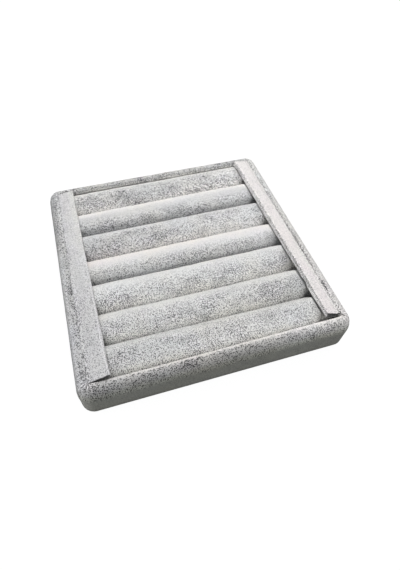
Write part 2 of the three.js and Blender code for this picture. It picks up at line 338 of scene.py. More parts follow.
def foam():
    m, nt, sh = new_material("open_cell_foam")
    k = Nodes(nt)
    at = where(nt)
    n = nt.nodes.new("ShaderNodeTexVoronoi")
    k.put(n.inputs["Vector"], at)
    n.inputs["Scale"].default_value = 900.0
    cell = n.outputs["Distance"]
    patch = k.noise(at, 90.0, 3.0, 0.5)
    tone = k.maths("MULTIPLY", k.span(cell, 0.05, 0.55, 0.62, 1.05), k.span(patch, 0.3, 0.7, 0.92, 1.05))
    k.put(sh.inputs["Base Color"], k.scaled(k.mix(patch, (0.80, 0.77, 0.66), (0.84, 0.79, 0.62)), tone))
    k.put(sh.inputs["Roughness"], k.span(cell, 0.0, 0.6, 1.0, 0.85))
    sh.inputs["Specular IOR Level"].default_value = 0.2
    k.put(sh.inputs["Normal"], k.bump(cell, 0.8, 0.0005))
    return m


def board(name, dark, light, scale):
    m, nt, sh = new_material(name)
    k = Nodes(nt)
    at = where(nt)
    fibre = k.noise(at, scale, 4.0, 0.65, (0, 0, 0), (1, 1, 1), (0, 0, 0), 0.8)
    fleck = k.noise(at, scale * 2.7, 2.0, 0.6, (1, 2, 3))
    patch = k.noise(at, 30.0, 2.0, 0.5, (7, 2, 3))
    f = k.maths("ADD", k.maths("MULTIPLY", fibre, 0.6), k.maths("MULTIPLY", fleck, 0.4))
    c = k.mix(k.span(f, 0.36, 0.64, 0.0, 1.0), dark, light)
    k.put(sh.inputs["Base Color"], k.scaled(c, k.span(patch, 0.3, 0.7, 0.9, 1.1)))
    k.put(sh.inputs["Roughness"], k.span(f, 0.3, 0.7, 0.95, 0.75))
    sh.inputs["Specular IOR Level"].default_value = 0.25
    k.put(sh.inputs["Normal"], k.bump(f, 0.4, 0.0003))
    return m


VELVET_TRAY = velvet("velvet_tray", 0.0, close=0.84)
VELVET_STRIP = {
    "left": velvet("velvet_left_strip", 11.3, (1, 0.5, 1), ((0.996, 0.998, 1.006), (1.006, 1.000, 0.990)), 0.93),
    "right": velvet("velvet_right_strip", 14.9, (1, 0.5, 1), ((0.990, 1.001, 0.994), (1.009, 0.997, 1.003)), 0.93),
}
FELT = felt()
FOAM = foam()
FIBREBOARD = board("fibreboard", (0.26, 0.16, 0.08), (0.46, 0.31, 0.17), 700.0)
GREYBOARD = board("greyboard", (0.075, 0.072, 0.068), (0.16, 0.153, 0.142), 900.0)

for node in ("base_board", "front_rail", "back_rail", "left_rail", "right_rail"):
    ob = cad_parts[node]
    ob.data.materials.clear()
    ob.data.materials.append(FIBREBOARD)
for node in ("left_strip_card", "right_strip_card"):
    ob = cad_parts[node]
    ob.data.materials.clear()
    ob.data.materials.append(GREYBOARD)


# ------------------------------------------------------------------ camera
def make_camera():
    right = Vector((0.95854306, -0.28436261, 0.01825131))
    down = Vector((-0.21040411, -0.74952475, -0.6276486))
    ahead = Vector((0.1921596, 0.59778806, -0.77828281))
    cam = bpy.data.cameras.new("camera")
    ob = bpy.data.objects.new("camera", cam)
    bpy.context.scene.collection.objects.link(ob)
    m = Matrix((right, -down, -ahead)).transposed().to_4x4()
    m.translation = Vector((-59.630, -187.777, 262.973)) * MM
    ob.matrix_world = m
    cam.sensor_width = 36.0
    cam.sensor_fit = "AUTO"
    cam.lens = 419.608 * 36.0 / 570.0
    cam.shift_x = (200.0 - 184.80) / 570.0
    cam.shift_y = -(285.0 - 257.92) / 570.0
    cam.clip_start, cam.clip_end = 0.01, 20.0
    cam.dof.use_dof = False
    bpy.context.scene.camera = ob


make_camera()


# ------------------------------------------------------------------ strips: shared shape
def strip_at(s, y):
    """Width and lean of a strip at y, and how far its inner side is turned under."""
    t = np.clip((s["y"][0] - np.asarray(y, float)) / (s["y"][0] - s["y"][1]), 0, 1)
    return lerp(*s["width"], t), np.radians(lerp(*s["lean"], np.sin(t * np.pi / 2))), np.radians(s["tuck"](t))


def strip_under(s, x, y):
    """Height of the strip's underside over (x, y), and how far x lies inside its inner lower edge."""
    w, a, k = strip_at(s, y)
    edge = HINGE_X - w * np.cos(a) - STRIP_T * np.sin(a - k)
    q = a
    for _ in range(8):
        u = (HINGE_X - STRIP_T * np.sin(q) - np.abs(x)) / np.cos(a)
        q = a - k * np.clip(u / w, 0, 1)
    return HINGE_Z + u * np.sin(a) - STRIP_T * np.cos(q), edge - np.abs(x)


# ------------------------------------------------------------------ rolls
def section(power, top, low):
    """A squarish round, evenly spaced: top points over its upper half, low over the rest."""
    t = np.linspace(0, 2 * np.pi, 4001)
    c, s = np.cos(t), np.sin(t)
    p = np.stack([np.sign(c) * np.abs(c) ** (2 / power), np.sign(s) * np.abs(s) ** (2 / power)], -1)
    far = np.concatenate([[0], np.cumsum(np.linalg.norm(np.diff(p, axis=0), axis=1))])
    half = far[-1] / 2
    want = np.concatenate([np.linspace(0, half, top, endpoint=False), np.linspace(half, 2 * half, low, endpoint=False)])
    return np.stack([np.interp(want, far, p[:, 0]), np.interp(want, far, p[:, 1])], -1)


def roll_surface(k, take=0.0, short=0.0, along=0.5, top=92, low=40, rough=1.0):
    """Grid of points of roll k (0 is the back one), rows along X."""
    r = ROLL_L - short
    x = np.linspace(-r, r, int(2 * r / along) + 1)
    sec = section(POWER, top, low)
    side = (x + 68) / 136
    hi = WELL - PITCH * k + lerp(STRAY[k][0], STRAY[k][1], side)
    lo = WELL - PITCH * (k + 1) + lerp(STRAY[k + 1][0], STRAY[k + 1][1], side)
    big = Noise(100 + k)
    q = np.stack([x / 34.0, np.full_like(x, 0.37), np.full_like(x, 0.51)], -1)
    # towards its ends the roll is drawn in, most of all on its front side, and droops
    end = np.abs(x)
    left, mid_z, right = CREST[k]
    crest = left * (1 - side) * (1 - 2 * side) + 4 * mid_z * side * (1 - side) + right * side * (2 * side - 1)
    crest = crest + 0.25 * big(q) - 1.2 * smooth(70, 80.4, end)
    pull = 0.035 * smooth(53, 66, end) + np.where(x > 0, 0.25, 0.17) * smooth(65.5, 74.5, end)
    if k == 6:
        pull = pull + 0.10 * smooth(66, 72, x)
    wide = (hi - lo) / 2 - 0.06
    half = np.where(sec[None, :, 0] > 0, (wide * (1 - 0.3 * pull) - take)[:, None], (wide * (1 - pull) - take)[:, None])
    mid = (hi + lo) / 2
    zc, zh = (ROLL_Z + crest) / 2, (crest - ROLL_Z) / 2 - take
    P = np.empty((len(x), len(sec), 3))
    P[..., 0] = x[:, None]
    P[..., 1] = mid[:, None] + half * sec[None, :, 0]
    P[..., 2] = zc[:, None] + zh[:, None] * sec[None, :, 1]
    # the soft roll is pressed down under the strips, and swells up beside their edges
    for s in STRIPS.values():
        on = np.sign(P[..., 0]) == s["side"]
        under, inside = strip_under(s, P[..., 0], P[..., 1])
        _, lean, _ = strip_at(s, P[..., 1])
        rise = np.maximum(inside, 0)
        if s["side"] < 0:
            # close against the strip at the back of the tray, a little open at the front
            open_ = smooth(-25, -55, P[..., 1])
            gap, lift = 0.42, rise * 0.5 + lerp(4.4, 2.6, open_) * (1 - np.exp(-rise / lerp(0.45, 1.3, open_)))
        else:
            deep = lerp(0.6, 2.4, smooth(0, -70, P[..., 1]))
            gap, lift = 0.42 + deep * smooth(-5, 0, inside), rise * 0.65 + (1.3 + 0.4 * deep) * (1 - np.exp(-rise / 2.2))
        limit = under - np.tan(lean) * rise + lift - gap - take
        lower = smin(P[..., 2], limit, 0.8)
        P[..., 2] = np.where(on & (P[..., 2] > 14), np.minimum(lower, P[..., 2]), P[..., 2])
    if rough:
        N = normals(P, True)
        n1, n2, n3 = Noise(200 + k), Noise(300 + k), Noise(400 + k)
        up = smooth(9, 16, P[..., 2])
        d = 0.20 * n1(P / 17.0) + 0.085 * n2(P / 5.5) + 0.08 * n3(P / 1.25) - 0.12
        P = P + N * (d * up * rough)[..., None]
    return P, sec


def tube(outer, inner):
    """A closed tube wall from two grids with the same number of points round."""
    no, ni, nv = outer.shape[0], inner.shape[0], outer.shape[1]
    verts = np.concatenate([outer.reshape(-1, 3), inner.reshape(-1, 3)])
    k = no * nv
    faces = np.concatenate([
        quads(no, nv, 0, wrap_v=True),
        quads(ni, nv, k, wrap_v=True, turn=True),
        ring(np.arange(nv), k + np.arange(nv)),
        ring((no - 1) * nv + np.arange(nv), k + (ni - 1) * nv + np.arange(nv), turn=True),
    ])
    return verts, faces


# how light each roll is on its crest, above and below the middle of its front and down
# in the groove, partly from the lie of its pile and partly painted shade and light; how much its gaps show on the crest
# and in the groove, and how far round the section that sets in; how much lighter its front is at the left end and at
# the right end; and how much more its gaps show at those ends
NAP_AND_PAINTED_SHADE = [
    ((0.605, 0.43, 0.405, 0.595), (0.42, 1.45, 0.34), (1.06, 1.33), (1.0, 0.90)),
    ((0.70, 0.585, 0.56, 0.38), (0.10, 1.08, 0.49), (0.93, 1.00), (1.0, 1.05)),
    ((0.56, 0.48, 0.525, 0.66), (0.40, 1.04, 0.30), (0.80, 1.08), (0.97, 0.93)),
    ((0.685, 0.62, 0.49, 0.47, 0.34), (0.03, 0.88, 0.43), (1.00, 1.08), (0.97, 0.80)),
    ((0.625, 0.56, 0.53, 0.73), (0.18, 0.88, 0.34), (1.00, 0.98), (0.94, 1.0)),
    ((0.585, 0.51, 0.505, 0.69), (0.18, 0.94, 0.30), (0.99, 0.85), (0.97, 1.16)),
    ((0.52, 0.46, 0.545, 0.725), (0.38, 0.88, 0.24), (0.87, 1.10), (0.98, 0.80)),
]


def roll(k):
    P, sec = roll_surface(k)
    inner, _ = roll_surface(k, take=CLOTH, along=6.0, rough=0.0)
    inner = np.concatenate([P[:1] * 0 + inner[:1], inner, inner[-1:]])
    inner[0, :, 0], inner[-1, :, 0] = P[0, :, 0], P[-1, :, 0]
    inner[1, :, 0] += 0.4
    inner[-2, :, 0] -= 0.4
    verts, faces = tube(P, inner)
    # place round the section: 0 at the back side, 1 at the front side, over the top
    over = np.arccos(np.clip(sec[:, 0], -1, 1)) / np.pi
    at = np.where(sec[:, 1] >= 0, over, np.where(sec[:, 0] > 0, 0.0, 1.0))
    n = Noise(500 + k)
    place = at[None, :] + 0.03 * n(P / 14.0)
    light, tufts, ends, open_ends = NAP_AND_PAINTED_SHADE[k]
    shade = np.interp(place, [0.35, 0.50, 0.65, 0.82] if len(light) == 4 else [0.35, 0.50, 0.68, 0.80, 0.84], light)
    slant = np.interp(P[..., 0], [-72, 0, 72], [ends[0], 1.0, ends[1]])
    shade = shade * lerp(1.0, slant, smooth(0.36, 0.50, place))
    fleck = lerp(tufts[0], tufts[1], smooth(tufts[2], tufts[2] + 0.27, place + 0.02 * n(P / 5.0)))
    fleck = fleck * np.interp(P[..., 0], [-72, 0, 72], [open_ends[0], 1.0, open_ends[1]])
    # light crests are a little warm, light grooves a little olive
    crest, groove = smooth(0.48, 0.30, place), smooth(0.64, 0.84, place) * smooth(0.42, 0.60, light[-1])
    warm = {0: 0.005, 1: 0.018, 3: 0.034}.get(k, 0.0) * (1 + 0.4 * smooth(-20, -70, P[..., 0]))
    red = 0.004 * crest + warm * smooth(0.62, 0.34, place) + 0.011 * groove - 0.012 * smooth(0.64, 0.84, place) * smooth(0.42, 0.36, light[-1])
    blue = -0.022 * crest - (0.012 + 0.024 * smooth(1.5, 5.0, k)) * groove - 0.004 - 0.4 * warm * smooth(0.62, 0.34, place)
    if k == 2:
        blue = blue + 0.012 * crest + 0.008
    behind = smooth(0.13, 0.05, place)
    shade, fleck, red, blue = lerp(shade, 0.50, behind), lerp(fleck, 0.95, behind), red * (1 - behind), blue * (1 - behind)
    # painted shade: a dark line in the gap against the left strip's edge, at the front of the tray
    _, inside = strip_under(STRIPS["left"], P[..., 0], P[..., 1])
    painted_gap_shade = np.exp(-(((inside - 0.25) / 0.55) ** 2)) * smooth(-20, -45, P[..., 1]) * (P[..., 0] < 0)
    shade = shade * (1 - (0.30 + 0.22 * n(P / 2.3)) * painted_gap_shade)
    # towards the right strip the front of each roll is darker, painted shade beside the strip's edge,
    # and on the front rolls the groove there is painted lighter
    _, other = strip_under(STRIPS["right"], P[..., 0], P[..., 1])
    dim, reach = ((0.25, 6.0), (0.20, 3.5), (0.0, 5.0), (0.17, 7.5), (0.33, 6.5), (0.0, 6.0), (0.20, 6.0))[k]
    low = smooth(0.79, 0.89, place) * (k > 2)
    painted_shade_and_light = 0.3 * smooth(6, 1, other) * low - dim * smooth(reach + 2, reach - 2, other) * smooth(0.40, 0.60, place) * (1 - low)
    shade = shade * (1 + painted_shade_and_light * (P[..., 0] > 0))
    # painted shade: roll 6 darker down its front towards both strips, at the ends of its groove
    if k == 5:
        close = np.where(P[..., 0] < 0, smooth(6, 0.5, inside), smooth(9, 1, other))
        shade = shade * (1 - 0.28 * close * smooth(0.62, 0.82, place))
    rest = np.zeros(len(verts) - P[..., 0].size)
    attributes = {
        "shade": np.append(shade, rest + 0.45), "fleck": np.append(fleck, rest + 0.2),
        "red": np.append(red, rest), "blue": np.append(blue, rest),
    }
    ob = piece(f"ring_roll_{k + 1}_velvet", verts, faces, velvet(f"velvet_roll_{k + 1}", (13.1, 27.3, 34.6, 41.9, 49.2, 56.5, 63.8)[k], (0.6, 1, 1), close=(0.86, 0.88, 0.914, 0.936, 0.958, 0.98, 1.0)[k]), attributes)
    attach(ob, "tray")
    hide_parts(f"roll_{k + 1}_cover")

    core, _ = roll_surface(k, take=CLOTH + 0.15, short=1.1, along=4.0, top=46, low=26, rough=0.0)
    nv = core.shape[1]
    caps, edge = [], []
    n = Noise(600 + k)
    for end, row in ((-1, core[0]), (1, core[-1])):
        mid = row.mean(0)
        rows = [mid + (row - mid) * (1 - f) for f in np.linspace(0, 0.97, 12)[1:]]
        rows = np.stack(rows)
        d = 0.3 * n(rows / 3.0) + 0.25 * n(rows / 1.1)
        rows[..., 0] += end * (0.5 * smooth(0, 3, np.arange(1, 12))[:, None] + d)
        caps.append(rows)
    cv = np.concatenate([caps[0][::-1], core, caps[1]])
    v = cv.reshape(-1, 3)
    f = quads(cv.shape[0], nv, 0, wrap_v=True)
    first, last = cv[0].mean(0), cv[-1].mean(0)
    v = np.concatenate([v, [first, last]])
    tris = []
    a, b = len(v) - 2, len(v) - 1
    top = (cv.shape[0] - 1) * nv
    for i in range(nv):
        j = (i + 1) % nv
        tris.append([a, i, j])
        tris.append([b, top + j, top + i])
    faces = f.tolist() + tris
    me = bpy.data.meshes.new(f"ring_roll_{k + 1}_foam")
    me.from_pydata((v * MM).tolist(), [], faces)
    me.polygons.foreach_set("use_smooth", np.ones(len(me.polygons), bool))
    me.update()
    fo = bpy.data.objects.new(f"ring_roll_{k + 1}_foam", me)
    bpy.context.scene.collection.objects.link(fo)
    me.materials.append(FOAM)
    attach(fo, "tray")
    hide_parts(f"roll_{k + 1}_foam")


for k in range(7):
    roll(k)


# ------------------------------------------------------------------ tray cloth
def tray_path():
    """The outside of the tray's cloth: (inset from the outer wall, height), from the end of the
    hem under the tray, up the wall, over the rim and down to the flange under the rolls."""
    pts = [(13.0, HEM_Z), (5.0, HEM_Z)]
    # the wall draws in a little towards the foot
    for a in np.linspace(0, 90, 11):
        r = math.radians(a)
        pts.append((0.35 + FOOT_R * (1 - math.sin(r)), HEM_Z + FOOT_R * (1 - math.cos(r))))
    for a in np.linspace(0, 90, 28):
        r = math.radians(a)
        pts.append((ROUND_W * (1 - math.cos(r)), RIM_Z - ROUND_H + ROUND_H * math.sin(r)))
    pts.append((6.6, RIM_Z - 0.08))
    for a in np.linspace(10, 90, 7):
        r = math.radians(a)
        pts.append((7.1 + 0.9 * math.sin(r), RIM_Z - 1.1 + 0.9 * math.cos(r)))
    pts += [(8.0, FLANGE_Z + 0.5), (8.2, FLANGE_Z + 0.12), (8.6, FLANGE_Z), (16.0, FLANGE_Z)]
    pts = np.array(pts)
    far = np.concatenate([[0], np.cumsum(np.linalg.norm(np.diff(pts, axis=0), axis=1))])
    return pts, far


def tray_cover():
    pts, far = tray_path()
    rim_at = far[np.argmin(np.hypot(pts[:, 0] - ROUND_W, pts[:, 1] - RIM_Z))]   # end of the round
    wall_at = far[np.argmin(np.hypot(pts[:, 0], pts[:, 1] - RIM_Z + ROUND_H))]  # end of the flat wall
    step = np.interp(far, [0, 13, wall_at - 4, wall_at + 2, rim_at + 4, rim_at + 10, far[-1]], [2.0, 1.0, 1.0, 0.5, 0.42, 1.2, 2.0])
    # even rows, closer together over the rim
    rate = np.concatenate([[0], np.cumsum(np.diff(far) / ((step[1:] + step[:-1]) / 2))])
    n = int(rate[-1]) + 1
    want = np.interp(np.linspace(0, rate[-1], n), rate, far)
    d = np.interp(want, far, pts[:, 0])
    z = np.interp(want, far, pts[:, 1])

    # stations round the tray: straight sides, then a corner each
    stations = []
    for q in range(4):
        w = np.linspace(-1, 1, 230)
        w = np.sign(w) * np.abs(w) ** 0.9
        stations += [(q, 0, t) for t in w[:-1]]
        stations += [(q, 1, a) for a in np.linspace(0, np.pi / 2, 40)[:-1]]
    st = np.array(stations)
    turn = st[:, 0] * np.pi / 2 + np.where(st[:, 1] == 1, st[:, 2], 0)
    out = np.stack([np.cos(turn), np.sin(turn)], -1)   # which way each station faces

    def place(d, z):
        c = HALF - np.maximum(CORNER_R, d + 0.35)
        r = HALF - d - c
        q, kind, t = st[:, 0:1], st[:, 1:2], st[:, 2:3]
        nx = np.where(kind == 0, HALF - d[None], c[None] + r[None] * np.cos(t))
        ty = np.where(kind == 0, t * c[None], c[None] + r[None] * np.sin(t))
        ca, sa = np.cos(q * np.pi / 2), np.sin(q * np.pi / 2)
        return np.stack([nx * ca - ty * sa, nx * sa + ty * ca, np.broadcast_to(z[None], nx.shape)], -1), nx, ty

    P, nx, ty = place(d, z)
    # the cloth rolls over the back rim's inner edge in a wider curve
    soft = np.array([(ROUND_W, RIM_Z), (6.5, 29.86), (7.1, 29.55), (7.65, 29.05), (8.1, 28.4), (8.4, 27.6), (8.55, 26.7), (8.5, 25.6), (8.25, 24), (8.0, 22), (8.0, FLANGE_Z + 0.5), (8.2, FLANGE_Z + 0.12), (8.6, FLANGE_Z), (16.0, FLANGE_Z)])
    run = np.concatenate([[0], np.cumsum(np.linalg.norm(np.diff(soft, axis=0), axis=1))])
    share = np.clip((want - rim_at) / (far[-1] - rim_at), 0, 1) * run[-1]
    B, _, _ = place(np.where(want > rim_at, np.interp(share, run, soft[:, 0]), d), np.where(want > rim_at, np.interp(share, run, soft[:, 1]), z))
    P = lerp(P, B, (smooth(0.6, 1.0, out[:, 1]) * smooth(81, 70, np.abs(P[:, -1, 0])))[:, None, None])
    # the front rim's inner edge bows out a little, more at its left end
    bow = np.maximum(-out[:, 1], 0)[:, None] ** 4 * smooth(rim_at - 2, rim_at + 1.5, want)[None]
    P[..., 1] -= bow * lerp(0.5, 0.15, smooth(-75, 75, P[..., 0])) * smooth(82, 76, np.abs(P[..., 0]))
    N = -normals(P, False)
    mid = np.argmin(np.abs(want - (wall_at - 5)))
    if N[110, mid] @ np.array([1, 0, 0]) < 0:
        N = -N
    n1, n2, n3 = Noise(1), Noise(2), Noise(3)
    move = 0.10 * n1(P / 28.0) + 0.05 * n2(P / 6.0) + 0.06 * n3(P / 1.3)
    move = move * smooth(4.0, 10.0, P[..., 2])

    # how light the cloth is by side: partly the pile, which runs one way over the whole cloth, and partly painted shade
    # and light, darkest on the front wall
    front, back = np.maximum(-out[:, 1], 0), np.maximum(out[:, 1], 0)
    left, right = np.maximum(-out[:, 0], 0), np.maximum(out[:, 0], 0)
    wall = (0.44 - 0.105 * front + 0.10 * left + 0.06 * right)[:, None]
    top = (0.44 - 0.10 * front - 0.03 * back - 0.08 * left + 0.09 * right)[:, None]
    top = top + 0.24 * front[:, None] * smooth(5, 75, P[..., 0])
    climb = smooth(wall_at - 1, rim_at - 1.5, want)[None]
    shade = lerp(wall, top, climb)
    # painted light and shade across the left rim: the shoulder light, the top of the rim dark, and darker again towards
    # the outer edge
    shoulder = lerp(0.59, 0.385, smooth(rim_at - 3.2, rim_at - 0.2, want))
    shoulder = lerp(0.38, shoulder, smooth(wall_at + 3.0, rim_at - 3.2, want))[None]
    rear = smooth(5, 45, P[..., 1])
    shoulder = shoulder * lerp(1.0, lerp(0.74, 1.16, smooth(rim_at - 2.2, rim_at + 0.8, want))[None], rear)
    shoulder = shoulder * (1 - 0.03 * smooth(-25, -55, P[..., 1]))
    shade = lerp(shade, shoulder, left[:, None] ** 2)
    # painted shade: darker down at the foot of the wall, where it turns under the tray
    shade = shade * (1 - 0.26 * smooth(9.0, 3.5, P[..., 2]))
    # the shoulder of the front wall is lighter left of its middle
    shade = shade * (1 + 0.20 * front[:, None] * np.exp(-(((P[..., 0] + 19) / 17) ** 2) - ((want[None] - rim_at + 5.4) / 3.0) ** 2))
    # painted highlight along the rim's inner edge, strongest on the front rim
    edge = np.exp(-(((want - rim_at - 1.2) / (0.75 + 0.2 * front[:, None])) ** 2))
    edge = edge * smooth(-84, -62, P[..., 0])
    shade = shade + (0.02 + 0.23 * front[:, None] * (1 - 0.55 * smooth(20, 80, P[..., 0]))) * edge
    # painted shade inside the rim: the cloth gets darker down the inner wall towards the rolls, more at the back left;
    # just inside the edge it is painted light
    inside = smooth(rim_at + 2.6, rim_at + 4.0, want)[None]
    deep = 1 - 0.18 * back[:, None] * smooth(0, -45, P[..., 0])
    shade = lerp(shade, (0.92 - 0.62 * smooth(28.4, 26.4, P[..., 2])) * deep, inside)
    fleck_wall = (0.45 - 0.22 * front + 0.25 * left + 0.25 * right)[:, None]
    fleck_top = (0.95 + 0.62 * front - 0.18 * left - 0.52 * right)[:, None] + back[:, None] * lerp(-0.30, 0.25, smooth(rim_at - 5, rim_at - 2, want))[None]
    fleck_top = (fleck_top + 0.20 * left[:, None] * rear + 0.40 * back[:, None] * smooth(-50, 50, P[..., 0]) * smooth(rim_at - 3.0, rim_at, want)[None]) * (1 - 0.55 * front[:, None] * smooth(15, 50, P[..., 0]) * smooth(rim_at - 7, rim_at - 2, want)[None])
    fleck = lerp(fleck_wall, fleck_top, smooth(wall_at - 3 + 3 * front[:, None], wall_at + 5, want[None] + (1.3 - 1.3 * smooth(10, 55, P[..., 0])) * front[:, None]))
    fleck = lerp(fleck, 0.15, np.clip(edge * 1.3, 0, 1) * (front[:, None] > 0.5))
    # along the crease between the strip and the rim the pile's gaps show more, and the crease is painted in shade, most
    # on the right
    crease = np.exp(-(((want - rim_at - 1.7) / 1.1) ** 2))[None] * np.clip((right + 0.7 * left) * 1.5 - 0.5, 0, 1)[:, None]
    fleck = fleck + 1.3 * crease
    shade = shade * (1 - (0.12 + 0.25 * np.exp(-(((P[..., 1] + 12) / 42) ** 2))) * (0.6 + 0.65 * right[:, None]) * crease)
    fleck = lerp(fleck, 1.15, inside)
    # its grey is olive down the front wall, warm along the front rim's edge
    red = ((0.016 * front + 0.005 * back + 0.008 * right)[:, None] + 0.016 * right[:, None] * smooth(10, -40, P[..., 1])) * climb - 0.012 * front[:, None] * (1 - climb) + 0.02 * edge * front[:, None]
    blue = lerp(-0.105 * front[:, None], (-0.018 * front - 0.012 * back - 0.015 * right)[:, None] + 0.022 * left[:, None] * smooth(-15, -55, P[..., 1]), smooth(0.2, 0.9, climb)) - 0.02 * edge * front[:, None]
    blue = lerp(blue, -0.035, inside)

    # pulled together at the inner corners of the rim: folds that fan out over the rim
    for qi in range(4):
        own = (st[:, 0] == qi)[:, None]
        nxt = (st[:, 0] == (qi + 1) % 4)[:, None]
        # the two sides that meet at this corner, in the corner's own axes
        a = np.where(own, nx, np.where(nxt, -ty, 0))
        b = np.where(own, ty, np.where(nxt, nx, 0))
        here = ((own & (ty > 55)) | (nxt & (ty < -55))) & (P[..., 2] > 14)
        ax, by = a - 81.3, b - 81.3
        rho = np.hypot(ax, by)
        psi = np.arctan2(by, ax) - np.pi / 4
        g = Noise(40 + qi)
        flat = np.full_like(psi, 0.3)
        wave = psi * (2 * np.pi / math.radians(27)) + 1.2 * g(np.stack([psi * 2.2, rho / 9.0, flat], -1))
        long = 5.2 + 1.8 * g(np.stack([psi * 3.4, flat, flat + 0.4], -1))
        fan = smooth(math.radians(74), math.radians(52), np.abs(psi))
        reach = smooth(0.4, 1.4, rho) * np.exp(-((rho / long) ** 2)) * fan * here
        ridge = np.cos(wave)
        move = move + 0.28 * ridge * reach - 0.2 * np.exp(-((rho / 1.4) ** 2)) * here
        # painted highlights on the fold ridges, painted shade in the hollows between them
        shade = shade + (0.46 * smooth(0.1, 0.9, ridge) - 0.14 * smooth(0.0, 0.9, -ridge)) * reach
        fleck = fleck * (1 - 0.8 * np.exp(-((rho / (long + 0.5)) ** 2)) * fan * here)
        if qi == 3:
            # one short crease runs out of the right front corner: a slight dent, painted dark with shade
            run = np.clip(((P[..., 0] - 82.1) * 1.7 - (P[..., 1] + 80.1) * 2.5) / (1.7 ** 2 + 2.5 ** 2), 0, 1)
            away = np.hypot(P[..., 0] - 82.1 - 1.7 * run, P[..., 1] + 80.1 + 2.5 * run)
            crease_dent_and_shade = np.exp(-((away / 0.55) ** 2)) * here * smooth(28.0, 29.0, P[..., 2])
            shade = shade * (1 - 0.72 * crease_dent_and_shade)
            move = move - 0.15 * crease_dent_and_shade
    P = P + N * move[..., None]

    # inner layer of the cloth, with the same stations and fewer rows
    pick = np.unique(np.concatenate([np.arange(0, len(d), 3), [len(d) - 1]]))
    tang = np.stack([np.gradient(d)[pick], np.gradient(z)[pick]], -1)
    tang /= np.linalg.norm(tang, axis=1, keepdims=True)
    I, _, _ = place(d[pick] + tang[:, 1] * CLOTH, z[pick] - tang[:, 0] * CLOTH)

    ns, no, ni = P.shape[0], P.shape[1], I.shape[1]
    verts = np.concatenate([P.reshape(-1, 3), I.reshape(-1, 3)])
    k = ns * no
    row = np.arange(ns)
    faces = np.concatenate([
        quads(ns, no, 0, wrap_u=True),
        quads(ns, ni, k, wrap_u=True, turn=True),
        ring(row * no, k + row * ni),
        ring(row * no + no - 1, k + row * ni + ni - 1, turn=True),
    ])
    n4 = Noise(9)
    shade = shade * (1 + 0.05 * n4(P / 20.0))
    rest = I[..., 0].size
    attributes = {
        "shade": np.append(shade, np.full(rest, 0.45)), "fleck": np.append(fleck + 0 * shade, np.full(rest, 0.2)),
        "red": np.append(red + 0 * shade, np.zeros(rest)), "blue": np.append(blue + 0 * shade, np.zeros(rest)),
    }
    ob = piece("tray_velvet", verts, faces, VELVET_TRAY, attributes)
    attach(ob, "tray")
    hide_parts("tray_cover")


tray_cover()


# ------------------------------------------------------------------ end strips
def strip_loop(width, t, radii, n_top, n_side, n_arc):
    """Section of a strip's cover, from the outer top corner across the top, down the inner side
    and back underneath. Radii: inner top, inner bottom, outer bottom, outer top corner."""
    a, b, c, d = radii
    arc = np.linspace(0, np.pi / 2, n_arc, endpoint=False)
    pts = [(x, 0.0) for x in np.linspace(d, width - a, n_top, endpoint=False)]
    pts += [(width - a + a * math.sin(q), -a + a * math.cos(q)) for q in arc]
    pts += [(width, v) for v in np.linspace(-a, -t + b, n_side, endpoint=False)]
    pts += [(width - b + b * math.cos(q), -t + b - b * math.sin(q)) for q in arc]
    pts += [(x, -t) for x in np.linspace(width - b, c, n_top, endpoint=False)]
    pts += [(c - c * math.sin(q), -t + c - c * math.cos(q)) for q in arc]
    pts += [(0.0, v) for v in np.linspace(-t + c, -d, n_side, endpoint=False)]
    pts += [(d - d * math.cos(q), -d + d * math.sin(q)) for q in arc]
    return np.array(pts)


def bump_along(y, at, wide):
    return np.exp(-(((y - at) / wide) ** 2))


